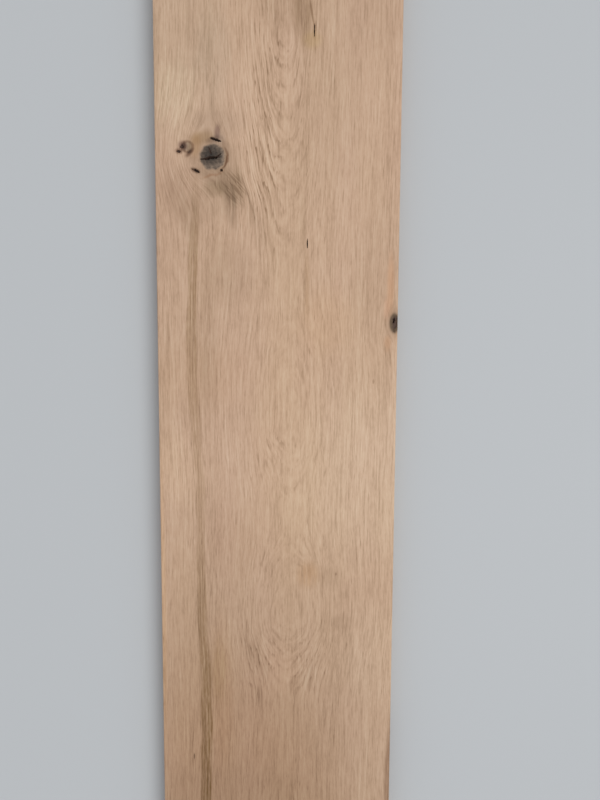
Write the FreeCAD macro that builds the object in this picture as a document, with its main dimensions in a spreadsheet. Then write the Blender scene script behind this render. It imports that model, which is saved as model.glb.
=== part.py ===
import FreeCAD, Part
import math
import os

import Sketcher

# A wide solid oak floorboard, one piece of stock, lying on its back with its face up.
# Millimetres. X runs across the board, Y along its grain and +Z out of its face.
# The origin is the middle of the underside.
# The board is a plain square-edged plank with its four face arrises eased. What is cut into
# it is what the wood itself lacks: the slits round its main knot, the crack in that knot,
# two short drying checks, and the rotten hollow of a second knot that its right edge cuts.

doc = FreeCAD.newDocument("wide_plank_floorboard")
sheet = doc.addObject("Spreadsheet::Sheet", "sizes")

# The stock as it is sold, and how far each knot is from the middle of the board.
STOCK = {
    "board_width": 220.0,
    "board_length": 2200.0,
    "board_thickness": 20.0,
    "arris_ease": 1.0,
    "main_knot_across": -59.3,
    "main_knot_along": 219.8,
    "edge_knot_across": 107.0,
    "edge_knot_along": 71.2,
}

# Every opening in the face is pointed at both ends, as wood parts along its grain.
# Each line gives where its middle is, across and along from its own mark, how far it is
# turned from across the board in degrees, and how long, wide and deep it is.
OPENING_SIZES = ("across", "along", "turn", "long", "wide", "deep")
OPENINGS = {
    "main_knot": {
        "knot_crack": (-0.7, -2.2, 8.0, 17.6, 2.6, 5.0),
        "crack_arm": (-1.3, 3.6, -66.0, 8.6, 1.4, 3.0),
        "slit_above_knot": (2.6, 14.0, -17.5, 11.6, 2.2, 4.0),
        "slit_below_knot": (-14.4, -13.2, -22.0, 7.4, 2.2, 4.0),
        "pit_below_knot": (8.7, -13.2, 0.0, 2.8, 2.4, 3.0),
        "pit_beside_knot": (-27.6, 8.0, 35.0, 5.6, 4.4, 3.5),
        "small_pit_beside_knot": (-30.3, 3.9, -8.0, 4.2, 2.2, 3.0),
        "slit_beside_knot": (-20.9, 3.4, 50.0, 5.4, 1.6, 3.0),
    },
    "edge_knot": {
        "edge_hollow": (0.0, 0.0, 88.0, 18.0, 8.8, 1.2),
        "edge_pit": (-0.5, 2.0, 84.0, 4.6, 1.6, 6.0),
    },
    "board_middle": {
        "long_check": (32.0, 327.4, 90.0, 13.6, 1.0, 5.0),
        "short_check": (26.8, 142.5, 90.0, 8.4, 0.9, 3.0),
    },
}


def enter(name, value):
    """Write one size into the sheet and give its cell that name."""
    enter.row += 1
    sheet.set(f"A{enter.row}", name)
    sheet.set(f"B{enter.row}", str(value))
    sheet.setAlias(f"B{enter.row}", name)


enter.row = 0

for size_name, size in STOCK.items():
    enter(size_name, size)
for openings in OPENINGS.values():
    for opening, sizes in openings.items():
        for part_of_name, size in zip(OPENING_SIZES, sizes):
            enter(f"{opening}_{part_of_name}", size)
doc.recompute()

board = doc.addObject("PartDesign::Body", "floorboard")
board.Label = "floorboard"


def origin_plane(role):
    """The body's own plane with that role."""
    return next(feature for feature in board.Origin.OriginFeatures if feature.Role == role)


def new_sketch(name):
    """A sketch of the body, seen from above."""
    sketch = board.newObject("Sketcher::SketchObject", name)
    sketch.AttachmentSupport = (origin_plane("XY_Plane"), "")
    sketch.MapMode = "FlatFace"
    return sketch


def point(x, y, z=0.0):
    return FreeCAD.Vector(x, y, z)


# The plan of the board: a rectangle about the origin.
plan = new_sketch("plan")
half_width = STOCK["board_width"] / 2
half_length = STOCK["board_length"] / 2
corners = [
    point(-half_width, -half_length),
    point(half_width, -half_length),
    point(half_width, half_length),
    point(-half_width, half_length),
]
for side in range(4):
    plan.addGeometry(Part.LineSegment(corners[side], corners[(side + 1) % 4]), False)
START, END, ORIGIN = 1, 2, -1
for side in range(4):
    plan.addConstraint(Sketcher.Constraint("Coincident", side, END, (side + 1) % 4, START))
for side, direction in enumerate(("Horizontal", "Vertical", "Horizontal", "Vertical")):
    plan.addConstraint(Sketcher.Constraint(direction, side))
plan.addConstraint(Sketcher.Constraint("Symmetric", 0, START, 2, START, ORIGIN, START))
width_rule = plan.addConstraint(
    Sketcher.Constraint("DistanceX", 0, START, 0, END, STOCK["board_width"])
)
length_rule = plan.addConstraint(
    Sketcher.Constraint("DistanceY", 1, START, 1, END, STOCK["board_length"])
)
plan.setExpression(f"Constraints[{width_rule}]", "sizes.board_width")
plan.setExpression(f"Constraints[{length_rule}]", "sizes.board_length")

# The plank, as thick as it is sawn and planed.
plank = board.newObject("PartDesign::Pad", "plank")
plank.Profile = plan
plank.setExpression("Length", "sizes.board_thickness")
doc.recompute()

# The four arrises round the face are eased, and those of the back stay square.
NEAR = 1e-6
face_edges = [
    f"Edge{number}"
    for number, edge in enumerate(plank.Shape.Edges, start=1)
    if all(abs(vertex.Z - STOCK["board_thickness"]) < NEAR for vertex in edge.Vertexes)
]
eased = board.newObject("PartDesign::Chamfer", "eased_arrises")
eased.Base = (plank, face_edges)
eased.setExpression("Size", "sizes.arris_ease")
doc.recompute()


def pointed_outline(sketch, name, length, width):
    """Two equal arcs that meet in a point at each end, on the sketch's own X axis."""
    radius = (length**2 + width**2) / (4 * width)
    to_centre = radius - width / 2
    tip_angle = math.atan2(to_centre, length / 2)
    upward = point(0, 0, 1)
    upper = Part.ArcOfCircle(
        Part.Circle(point(0, -to_centre), upward, radius), tip_angle, math.pi - tip_angle
    )
    lower = Part.ArcOfCircle(
        Part.Circle(point(0, to_centre), upward, radius), math.pi + tip_angle, -tip_angle
    )
    sketch.addGeometry([upper, lower], False)
    sketch.addConstraint(Sketcher.Constraint("Coincident", 0, START, 1, END))
    sketch.addConstraint(Sketcher.Constraint("Coincident", 0, END, 1, START))
    sketch.addConstraint(Sketcher.Constraint("PointOnObject", 0, START, ORIGIN))
    sketch.addConstraint(Sketcher.Constraint("Symmetric", 0, START, 0, END, ORIGIN, START))
    long_rule = sketch.addConstraint(
        Sketcher.Constraint("DistanceX", 0, END, 0, START, length)
    )
    upper_rule = sketch.addConstraint(Sketcher.Constraint("Radius", 0, radius))
    lower_rule = sketch.addConstraint(Sketcher.Constraint("Radius", 1, radius))
    long_cell = f"sizes.{name}_long"
    wide_cell = f"sizes.{name}_wide"
    arc_radius = f"({long_cell} * {long_cell} + {wide_cell} * {wide_cell}) / (4 * {wide_cell})"
    sketch.setExpression(f"Constraints[{long_rule}]", long_cell)
    sketch.setExpression(f"Constraints[{upper_rule}]", arc_radius)
    sketch.setExpression(f"Constraints[{lower_rule}]", arc_radius)


def cut_opening(name, mark, sizes):
    """Sink one pointed opening into the face, at its place from its mark."""
    across, along, turn, length, width, deep = sizes
    sketch = new_sketch(f"{name}_outline")
    start_across = "" if mark == "board_middle" else f"sizes.{mark}_across + "
    start_along = "" if mark == "board_middle" else f"sizes.{mark}_along + "
    sketch.setExpression("AttachmentOffset.Base.x", f"{start_across}sizes.{name}_across")
    sketch.setExpression("AttachmentOffset.Base.y", f"{start_along}sizes.{name}_along")
    sketch.setExpression("AttachmentOffset.Base.z", "sizes.board_thickness")
    sketch.AttachmentOffset = FreeCAD.Placement(
        point(across, along, STOCK["board_thickness"]), FreeCAD.Rotation(point(0, 0, 1), turn)
    )
    sketch.setExpression("AttachmentOffset.Rotation.Angle", f"sizes.{name}_turn")
    pointed_outline(sketch, name, length, width)
    volume_before = board.Shape.Volume
    opening = board.newObject("PartDesign::Pocket", name)
    opening.Profile = sketch
    opening.setExpression("Length", f"sizes.{name}_deep")
    doc.recompute()
    removed = volume_before - board.Shape.Volume
    if removed <= 0:
        raise RuntimeError(f"{name} takes nothing out of the board")
    print(f"{name}: takes out {removed:.1f} mm3")


for mark, openings in OPENINGS.items():
    for opening, sizes in openings.items():
        cut_opening(opening, mark, sizes)

# Every object has to be sound before the board is written.
for item in doc.Objects:
    if "Invalid" in item.State or "Error" in item.State:
        raise RuntimeError(f"{item.Name} failed: {item.State}")
shape = board.Shape
if shape.isNull() or not shape.isValid() or len(shape.Solids) != 1:
    raise RuntimeError("the board isn't one sound solid")

box = shape.BoundBox
print(f"board {box.XLength:.1f} x {box.YLength:.1f} x {box.ZLength:.1f} mm")
print(f"volume {shape.Volume / 1e6:.4f} litres")

os.makedirs("parts", exist_ok=True)
shape.exportStep(f"parts/{board.Label}.step")
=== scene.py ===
# %% [markdown]
# A wide oak floorboard, one plank of solid wood, lies on a pale floor with its face up.
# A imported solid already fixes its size, its place and its openings. This script gives the
# board what such a solid can't hold: growth rings, fibres, knots, stains and rounded edges.
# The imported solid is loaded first, because every later size is worked out from it.

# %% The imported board
import math
from functools import partial

import bpy
import numpy as np
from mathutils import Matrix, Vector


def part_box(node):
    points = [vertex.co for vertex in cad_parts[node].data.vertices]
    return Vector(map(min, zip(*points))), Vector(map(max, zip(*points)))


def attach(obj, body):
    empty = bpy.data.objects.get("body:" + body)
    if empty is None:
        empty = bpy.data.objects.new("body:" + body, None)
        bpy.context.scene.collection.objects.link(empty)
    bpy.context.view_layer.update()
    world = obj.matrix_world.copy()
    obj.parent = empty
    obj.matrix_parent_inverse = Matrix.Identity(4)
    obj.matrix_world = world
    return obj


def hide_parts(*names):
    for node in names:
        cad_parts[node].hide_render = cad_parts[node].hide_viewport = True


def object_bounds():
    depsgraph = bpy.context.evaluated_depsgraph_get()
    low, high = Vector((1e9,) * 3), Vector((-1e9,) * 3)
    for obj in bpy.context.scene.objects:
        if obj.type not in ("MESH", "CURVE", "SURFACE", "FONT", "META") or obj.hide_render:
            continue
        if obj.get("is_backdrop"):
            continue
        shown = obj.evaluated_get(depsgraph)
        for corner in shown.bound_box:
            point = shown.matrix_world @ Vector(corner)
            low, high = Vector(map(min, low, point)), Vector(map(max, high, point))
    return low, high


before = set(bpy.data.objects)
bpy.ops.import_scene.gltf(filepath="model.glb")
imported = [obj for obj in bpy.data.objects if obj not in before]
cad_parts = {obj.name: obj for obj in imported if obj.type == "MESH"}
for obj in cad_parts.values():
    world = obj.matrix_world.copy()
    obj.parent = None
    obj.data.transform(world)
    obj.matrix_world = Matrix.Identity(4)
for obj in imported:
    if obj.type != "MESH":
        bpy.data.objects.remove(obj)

packed_low, packed_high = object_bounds()
MM = 0.001
_, board_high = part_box("floorboard")
half_width = board_high.x / MM
half_length = board_high.y / MM
thickness = board_high.z / MM
print(f"board {2 * half_width:.1f} x {2 * half_length:.1f} x {thickness:.1f} mm")

# %% [markdown]
# A plank is cut lengthwise out of a log, so its pattern is a slice through the log's growth
# rings. The rings are nested tubes about the pith, the middle of the stem. A stem is never
# quite straight: where the pith comes nearer to the sawn face, the slice shows the pointed
# arches that make flat-sawn oak so lively, and where it sinks away the arches turn round.
# An image of wood could be laid on the board, but it would smear over the edges and the ends.
# It is better to work out, for every point of the board, how far it is from the pith. One
# smooth line gives how deep the pith lies along the board, and one gives how far aside.

# %% The stem: where the pith runs under the face
# Each stop: a place along the board, and how deep or how far aside the pith is there, in mm.
PITH_DEPTH = [
    (-1100, 37), (-900, 31), (-700, 42), (-520, 36), (-335, 46), (-280, 45), (-246, 39),
    (-212, 31), (-170, 34), (-113, 42), (-9, 33), (95, 42), (352, 18), (480, 24), (640, 40),
    (800, 31), (960, 42), (1100, 36),
]
PITH_ACROSS = [
    (-1100, 16), (-800, -6), (-500, 2), (-285, 6.6), (-147, 12), (64, 10), (200, 6),
    (320, 5), (520, 12), (800, -4), (1100, 8),
]


def smooth_line(along, stops):
    """The smooth line through a few stops, each a place along the board and a value, in mm."""
    places, values = (np.array(row, float) for row in zip(*stops))
    slopes = np.gradient(values, places)
    left = np.clip(np.searchsorted(places, along) - 1, 0, len(places) - 2)
    gap = places[left + 1] - places[left]
    part = np.clip((along - places[left]) / gap, 0, 1)
    rise = values[left + 1] - values[left]
    steady = part * part * (3 - 2 * part)
    start_bend = part * (1 - part) ** 2 * gap * slopes[left]
    end_bend = part * part * (part - 1) * gap * slopes[left + 1]
    return values[left] + rise * steady + start_bend + end_bend


for spot in (300.0, 100.0, 0.0):
    pith_depth = smooth_line(np.array([spot]), PITH_DEPTH)[0]
    print(f"{spot:.0f} mm along, the pith lies {pith_depth:.1f} mm deep")

# %% [markdown]
# Branches push the fibres aside. A branch that was sawn across shows as a round knot, and the
# fibres part before it and close behind it, like water round a post. Below the large knot they
# also lean over towards the middle of the board. Small swellings in the stem, which never
# became branches, lift the rings into little bowls that show as closed rings.

# %% The knots and swellings that push the fibres aside
MAIN_KNOT = (-58.4, 218.5)
MAIN_KNOT_RADIUS = 11.6
SMALL_KNOT = (-80.4, 227.0)
EDGE_KNOT = (107.0, 71.2)

# Where the fibres part: across, along and the radius of what they part round, in mm. A push
# reaches further along the board than across, and is held to a share of the distance.
KNOT_PUSH = [(-62.0, 219.8, 13.5), (*EDGE_KNOT, 7.0)]
PUSH_STRETCH = 1.5
MOST_PUSH = 0.7

# Where the fibres lean over: across, along, how far that reaches aside, up and down the
# board, and how far they are shifted, in mm.
LEANS = [
    (-93, 226, 26, 38, 38, -8.0), (-74, 172, 22, 30, 40, 4.0), (-38, 176, 26, 20, 110, 11.0),
]
# Swellings: across, along, reach across and along, and how far they lift the rings, in mm.
SWELLINGS = [(4, 320, 17, 13, 2.2), (-2, -31, 9, 11, 2.5), (34, -166, 18, 14, 2.5)]
# The rest of the stem's unevenness: how much, the size of its waves in mm, and a seed.
STEM_WAVES = [(0.5, 70, 160, 3), (0.18, 14, 40, 4)]

# Where the rings show clearly: across, along, reach across and along in mm, and how much.
CLEAR_RINGS = [
    (-11, 245, 19, 90, 1.0), (2, 318, 22, 24, 0.35), (-8, -50, 24, 45, 0.22),
    (-19, -254, 13, 36, 0.55), (30, -257, 13, 26, 0.55), (5, -236, 20, 20, 0.15),
    (0, 760, 70, 260, 0.35), (0, -760, 70, 260, 0.35),
]
print(f"{len(KNOT_PUSH)} knots part the fibres, {len(SWELLINGS)} swellings lift the rings")

# %% Where the fibres and rings run
# A full turn in radians, near enough for random waves.
FULL_TURN = 6.28


def fibre_place(x, y):
    """Where the fibre at each point would run if no branch had pushed it, across, in mm."""
    unpushed = x.copy()
    for knot_x, knot_y, push in KNOT_PUSH:
        aside = x - knot_x
        away = aside**2 + ((y - knot_y) / PUSH_STRETCH) ** 2
        unpushed -= aside * np.minimum(MOST_PUSH, push**2 / np.maximum(away, 1.0))
    for lean_x, lean_y, aside_reach, up_reach, down_reach, shift in LEANS:
        along_reach = np.where(y > lean_y, up_reach, down_reach)
        near = ((x - lean_x) / aside_reach) ** 2 + ((y - lean_y) / along_reach) ** 2
        unpushed -= shift * np.exp(-near)
    return unpushed


def waves(x, y, across, along, seed, count=9):
    """A gentle random unevenness, about 1 either way, in waves of that size in mm."""
    dice = np.random.default_rng(seed)
    total = np.zeros_like(x)
    for turn_x, turn_y, phase in dice.normal(size=(count, 3)):
        total += np.sin(FULL_TURN * (x / across * turn_x + y / along * turn_y + phase))
    return total / math.sqrt(count / 2)


def wood_fields(x, y, z):
    """The fibre's place, the distance from the pith and the angle about it, at each point."""
    fibre = fibre_place(x, y)
    aside = fibre - smooth_line(y, PITH_ACROSS)
    above = smooth_line(y, PITH_DEPTH) - (thickness - z)
    for middle_x, middle_y, reach_x, reach_y, lift in SWELLINGS:
        near = ((x - middle_x) / reach_x) ** 2 + ((y - middle_y) / reach_y) ** 2
        above = above - lift * np.exp(-near)
    for amount, wide, long, seed in STEM_WAVES:
        above = above + amount * waves(x, y, wide, long, seed)
    ring = np.hypot(aside, above)
    angle = np.degrees(np.arctan2(aside, above))
    return fibre, ring, angle


middle = np.zeros(1)
_, to_pith, _ = wood_fields(middle, middle, middle + thickness)
print(f"the middle of the face is {to_pith[0]:.1f} mm from the pith")

# %% [markdown]
# On the real board the wood is missing in a few places: two cracks in the dead knot, slits and
# pits round it, a rotten hollow at the right edge, and two short checks where it dried. The
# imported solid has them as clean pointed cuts. Here each stays within about a millimetre of its
# cut, but has a ragged outline and sloping walls, and the main crack gets a hooked end. A
# boolean would cut them too, yet it leaves slivers. Instead the face is a height field: every
# point of the grid sinks as deep as its openings say.

# %% The openings in the face
# Each line: across, along, turn in degrees, long, wide and deep, in mm.
OPENINGS = {
    "knot_crack": (-60.8, 217.4, 7, 19.6, 2.6, 5),
    "crack_arm": (-60.6, 223.4, -66, 8.6, 1.4, 1.5),
    "crack_hook": (-53.2, 219.8, 30, 7.0, 1.5, 2.0),
    "slit_above_knot": (-56.0, 233.6, -17.5, 11.6, 2.2, 4),
    "slit_below_knot": (-73.9, 206.6, -24, 8.2, 2.2, 4),
    "pit_below_knot": (-50.6, 206.6, 0, 2.8, 2.4, 3),
    "pit_beside_knot": (-85.2, 227.6, 35, 6.0, 4.8, 2.4),
    "small_pit_beside_knot": (-88.6, 223.2, -8, 4.2, 2.4, 2.0),
    "slit_beside_knot": (-79.4, 222.4, 50, 5.4, 1.6, 0.9),
    "edge_hollow": (107.0, 71.2, 88, 18, 8.8, 1.2),
    "edge_pit": (106.5, 73.2, 84, 4.6, 1.6, 6),
    "long_check": (32.0, 327.4, 90, 13.6, 1.0, 5),
    "short_check": (26.8, 142.5, 90, 8.4, 0.9, 3),
}
# A wall slopes: the opening is at full depth a share 1 / WALL_SLOPE of its width in from the
# rim. The rim wanders by a share of the width too, in waves of a few mm.
WALL_SLOPE = 2.6
RAGGED_SHARE = 0.1
RAGGED_WAVES = 5


def distance_outside(x, y, across, along, turn, long, wide):
    """How far each point lies outside a pointed opening of two equal arcs, in mm."""
    lean = math.radians(turn)
    u = (x - across) * math.cos(lean) + (y - along) * math.sin(lean)
    v = (y - along) * math.cos(lean) - (x - across) * math.sin(lean)
    radius = (long**2 + wide**2) / (4 * wide)
    return np.hypot(u, np.abs(v) + radius - wide / 2) - radius


def sunk_depth(x, y):
    """How deep the openings sink each point of the face, in mm."""
    depth = np.zeros_like(x)
    for across, along, turn, long, wide, deep in OPENINGS.values():
        ragged = RAGGED_SHARE * wide * waves(x, y, RAGGED_WAVES, RAGGED_WAVES, 11)
        inside = -distance_outside(x, y, across, along, turn, long, wide) + ragged
        here = np.clip(inside * WALL_SLOPE * deep / wide, 0, deep)
        depth = np.maximum(depth, here)
    return depth


deepest = max(deep for *_, deep in OPENINGS.values())
print(f"{len(OPENINGS)} openings, the deepest {deepest} mm")

# %% [markdown]
# A grid can be as fine as a knot's slits need only if it is coarse elsewhere: half a
# millimetre over the whole board would be two million squares. The grid lines are therefore
# graded. They stand close over the knots, the checks and the rounded arrises, and each step
# away from there is a little longer than the last.

# %% Grid lines, close together where the board has fine shapes
# Each fine span: from, to and the step between its grid lines, in mm.
ARRIS = 1.0
ARRIS_STEP = 0.25
ACROSS_FINE = [(-93, -45, 0.65), (30.9, 33.1, 0.25), (26.0, 27.6, 0.25), (101, 109, 0.55)]
ALONG_FINE = [(203, 240, 0.65), (60, 83, 0.65), (137, 148, 1.2), (319, 336, 1.2)]
COARSEST_ACROSS, COARSEST_ALONG = 3.2, 11.0
# How much longer a step is for each mm that it lies outside a fine span.
STEP_GROWTH = 0.3
# The flat layout will cut the face into three lengths, so grid lines fall on both cuts.
STRIP_LENGTH = 2 * half_length / 3


def graded(half, fine, coarsest, stops=()):
    """Grid lines from -half to half, close together over the fine spans, hitting each stop."""
    arris = [(-half, -half + ARRIS, ARRIS_STEP), (half - ARRIS, half, ARRIS_STEP)]
    lines = [-half]
    for stop in (*stops, half):
        marks = [lines[-1]]
        while marks[-1] < stop:
            here = marks[-1]
            steps = [
                step + STEP_GROWTH * max(low - here, here - high, 0)
                for low, high, step in fine + arris
            ]
            marks.append(here + min(coarsest, *steps))
        marks = np.array(marks)
        marks = marks[0] + (marks - marks[0]) * (stop - marks[0]) / (marks[-1] - marks[0])
        lines.extend(marks[1:])
    return np.array(lines)


across_lines = graded(half_width, ACROSS_FINE, COARSEST_ACROSS)
cuts = (-STRIP_LENGTH / 2, STRIP_LENGTH / 2)
along_lines = graded(half_length, ALONG_FINE, COARSEST_ALONG, cuts)
print(f"{len(across_lines)} lines across, {len(along_lines)} along")

# %% [markdown]
# The face is one sheet of grid points. Its four arrises are eased by hand with a plane and
# paper, so they are rounded and a little uneven. The sides and ends hang from the rim of
# that sheet in a few rows, and a coarser grid closes the back, so that the board is one
# watertight skin. Its back arrises are only just broken.

# %% The skin of the board
# The rounding of the arrises varies by about this share, in waves of this size in mm.
ARRIS_UNEVENNESS = 0.12
UNEVEN_WAVES = 60
BACK_ARRIS = 0.25
# The rows of points down the walls: the share of the rim's height, and how far in from it.
WALL_ROWS = [(0.75, 0), (0.5, 0), (0.25, 0), (0.0125, 0), (0, BACK_ARRIS)]


def eased_drop(to_edge):
    """How far a rounded arris has dropped at this distance from the edge, in mm."""
    run = np.clip(1 - to_edge / ARRIS, 0, 1)
    return ARRIS * (1 - np.sqrt(1 - run**2))


face_x, face_y = (grid.ravel() for grid in np.meshgrid(across_lines, along_lines))
uneven = 1 + ARRIS_UNEVENNESS * waves(face_x, face_y, UNEVEN_WAVES, UNEVEN_WAVES, 21)
to_long_edge = (half_width - np.abs(face_x)) * uneven
to_end = (half_length - np.abs(face_y)) * uneven
sunk = sunk_depth(face_x, face_y)
drop = np.maximum.reduce([eased_drop(to_long_edge), eased_drop(to_end), sunk])
face_points = np.column_stack([face_x, face_y, thickness - drop])

columns, rows = len(across_lines), len(along_lines)
number = np.arange(columns * rows).reshape(rows, columns)
squares = np.stack(
    [number[:-1, :-1], number[:-1, 1:], number[1:, 1:], number[1:, :-1]], axis=-1
).reshape(-1, 4)

rim = np.concatenate([number[0, :-1], number[:-1, -1], number[-1, :0:-1], number[:0:-1, 0]])
rim_points = face_points[rim]
wall_points = []
for share, inset in WALL_ROWS:
    level = rim_points * (1, 1, share)
    inward = (1 - inset / half_width, 1 - inset / half_length, 1)
    wall_points.append(level * inward)
points = np.vstack([face_points, *wall_points])

rim_count = np.arange(len(rim))
levels = [rim]
for row in range(len(WALL_ROWS)):
    levels.append(len(face_points) + len(rim) * row + rim_count)
walls = []
for upper, lower in zip(levels, levels[1:]):
    walls.append(np.column_stack([lower, np.roll(lower, -1), np.roll(upper, -1), upper]))
walls = np.vstack(walls)
print(f"{len(face_points)} points on the face, {len(rim)} of them round its rim")

# %% [markdown]
# The back's grid takes only every few lines of the face's grid. Its outer cells still have to
# touch every point of the rim, so they are polygons with more corners than four.

# %% The back
BACK_STEP = 6
SHARP_ANGLE = math.radians(50)


def every(lines, step):
    """The numbers of every few lines, with the first and the last."""
    chosen = list(range(0, lines - 1, step))
    return chosen + [lines - 1]


back_columns, back_rows = every(columns, BACK_STEP), every(rows, BACK_STEP)
rim_number = {int(point): int(last) for point, last in zip(rim, levels[-1])}
inner = [(i, j) for j in back_rows[1:-1] for i in back_columns[1:-1]]
inner_number = {place: len(points) + count for count, place in enumerate(inner)}
inner_points = np.array([(across_lines[i], along_lines[j], 0.0) for i, j in inner])
points = np.vstack([points, inner_points])


def back_number(i, j):
    """The point of the back under a crossing of grid lines."""
    return inner_number.get((i, j)) or rim_number[int(number[j, i])]


def edge_walk(start, end):
    """The crossings from one corner of a back cell to the next, all of them along the rim."""
    (i0, j0), (i1, j1) = start, end
    on_rim = (j0 == j1 and j0 in (0, rows - 1)) or (i0 == i1 and i0 in (0, columns - 1))
    if not on_rim:
        return [start]
    count = abs(i1 - i0) + abs(j1 - j0)
    return [(i0 + (i1 - i0) * k // count, j0 + (j1 - j0) * k // count) for k in range(count)]


back = []
for j0, j1 in zip(back_rows, back_rows[1:]):
    for i0, i1 in zip(back_columns, back_columns[1:]):
        corners = [(i0, j0), (i0, j1), (i1, j1), (i1, j0)]
        cell = []
        for start, end in zip(corners, corners[1:] + corners[:1]):
            cell.extend(back_number(i, j) for i, j in edge_walk(start, end))
        back.append(cell)

faces = squares.tolist() + walls.tolist() + back
skin = bpy.data.meshes.new("floorboard_skin")
skin.from_pydata((points * MM).tolist(), [], faces)
skin.validate()
for polygon in skin.polygons:
    polygon.use_smooth = True
skin.set_sharp_from_angle(angle=SHARP_ANGLE)
board = bpy.data.objects.new("floorboard_visual", skin)
bpy.context.scene.collection.objects.link(board)
print(f"skin: {len(points)} points, {len(faces)} faces")

# %% [markdown]
# The material can't know about pith and fibres by itself, so the skin carries them. Each
# point holds a few distances in millimetres, and the material turns those into colour.
# Distances are smooth, so a coarse grid holds them well, and the fine lines are drawn later,
# from the distances, as sharp as the render needs.

# %% Distances that the skin carries for its material
# The mineral streak's middle line, half its width and how dark it is, along the board.
STREAK_MIDDLE = [
    (-1100, -62), (-700, -68), (-520, -71), (-400, -70.4), (-340, -67.8), (-262, -69), (-182, -72.2),
    (-85, -72), (28, -78.6), (102, -78.4), (154, -75.5), (215, -72), (1100, -72),
]
STREAK_HALF_WIDTH = [
    (-1100, 5), (-500, 6), (-345, 6.4), (-262, 6.1), (-182, 5.2), (-85, 5), (28, 5.6), (102, 4.8),
    (154, 4.5), (215, 4), (1100, 4),
]
STREAK_DARKNESS = [
    (-1100, 0.0), (-700, 0.2), (-520, 0.6), (-345, 0.76), (-262, 0.62), (-182, 0.42), (-85, 0.27),
    (28, 0.36), (102, 0.5), (150, 0.4), (185, 0.2), (210, 0.0), (1100, 0.0),
]
# How clear the rings are where nothing else is said, and how much that varies. At the tip of
# its arch, within TIP_REACH mm of the pith's line, a ring keeps only a share of that.
PLAIN_CLEARNESS = 0.22
CLEARNESS_VARIES = 0.06
TIP_CLEARNESS = 0.35
TIP_REACH = 9.0
x, y, z = points.T
fibre_mm, ring_mm, ray_degrees = wood_fields(x, y, z)
depth_inside = np.zeros(len(points))
depth_inside[: len(face_points)] = sunk
ring_clearness = PLAIN_CLEARNESS + CLEARNESS_VARIES * waves(x, y, 40, 90, 31)
for middle_x, middle_y, reach_x, reach_y, amount in CLEAR_RINGS:
    near = ((x - middle_x) / reach_x) ** 2 + ((y - middle_y) / reach_y) ** 2
    ring_clearness = ring_clearness + amount * np.exp(-near)
from_tip = np.abs(np.sin(np.radians(ray_degrees))) * ring_mm / TIP_REACH
tip_share = TIP_CLEARNESS + (1 - TIP_CLEARNESS) * np.clip(from_tip, 0, 1)
CARRIED = {
    "fibre_mm": fibre_mm,
    "ring_mm": ring_mm,
    "ray_degrees": ray_degrees,
    "ring_clearness": ring_clearness * tip_share,
    "streak_share": (x - smooth_line(y, STREAK_MIDDLE)) / smooth_line(y, STREAK_HALF_WIDTH),
    "streak_darkness": np.clip(smooth_line(y, STREAK_DARKNESS), 0, 1),
    "sunk_mm": depth_inside,
}
for name, values in CARRIED.items():
    carried = skin.attributes.new(name, "FLOAT", "POINT")
    carried.data.foreach_set("value", values.astype(np.float32))
    print(f"{name}: {values.min():.1f} to {values.max():.1f}")

# %% [markdown]
# When the finish is baked to a picture, the board needs a flat layout. One long strip would
# waste nearly all of a square picture, so the face is cut into three lengths laid side by
# side. The back, sides and ends take the narrow column that is left, at a smaller scale.

# %% A flat layout of the skin
# The picture is 1 wide and 1 high. Corners are places in it, scales are its share for each mm.
MARGIN = 0.006
STRIP_SCALE = 1.3 * MM
STRIP_GAP = 2
BACK_CORNER = (0.872, 0.01)
BACK_SCALE = (0.4 * MM, 0.44 * MM)
SIDE_CORNERS = {-1: (0.966, 0.01), 1: (0.984, 0.01)}
SIDE_SCALE = 0.7 * MM
END_CORNERS = {-1: (0.01, 0.966), 1: (0.31, 0.966)}
# A wall's face belongs to an end if its middle is within this many mm of it.
NEAR_END = 0.3
layout = skin.uv_layers.new(name="OFBake")
corner_points = np.zeros(len(skin.loops), np.int32)
skin.loops.foreach_get("vertex_index", corner_points)
corner_face = np.repeat(
    np.arange(len(skin.polygons)), [polygon.loop_total for polygon in skin.polygons]
)
centres = np.array([polygon.center for polygon in skin.polygons]) / MM
cx, cy, cz = points[corner_points].T
is_face = corner_face < len(squares)
is_back = corner_face >= len(squares) + len(walls)
is_wall = ~is_face & ~is_back
on_end = is_wall & (half_length - np.abs(centres[corner_face, 1]) < NEAR_END)
on_side = is_wall & ~on_end
strip = np.clip((centres[corner_face, 1] + half_length) // STRIP_LENGTH, 0, 2)
u = MARGIN + (strip * (2 * half_width + STRIP_GAP) + cx + half_width) * STRIP_SCALE
v = MARGIN + (cy + half_length - strip * STRIP_LENGTH) * STRIP_SCALE
u = np.where(is_back, BACK_CORNER[0] + (cx + half_width) * BACK_SCALE[0], u)
v = np.where(is_back, BACK_CORNER[1] + (cy + half_length) * BACK_SCALE[1], v)
for side in (-1, 1):
    here = on_side & (np.sign(cx) == side)
    u = np.where(here, SIDE_CORNERS[side][0] + cz * SIDE_SCALE, u)
    v = np.where(here, SIDE_CORNERS[side][1] + (cy + half_length) * BACK_SCALE[1], v)
    here = on_end & (np.sign(cy) == side)
    u = np.where(here, END_CORNERS[side][0] + (cx + half_width) * STRIP_SCALE, u)
    v = np.where(here, END_CORNERS[side][1] + cz * STRIP_SCALE, v)
layout.data.foreach_set("uv", np.column_stack([u, v]).ravel().astype(np.float32))
print(f"layout: u {u.min():.3f} to {u.max():.3f}, v {v.min():.3f} to {v.max():.3f}")

# %% [markdown]
# Colours are written as sRGB hex values, which is how paint and screen colours are named.
# Blender reckons in linear light, so one function turns them. A stain doesn't hide
# the grain under it: it takes away part of the light. So a stain is the ratio of the stained
# colour to the clean one, and it multiplies what is there.

# %% Colours
OAK = "#c4a489"


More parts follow.
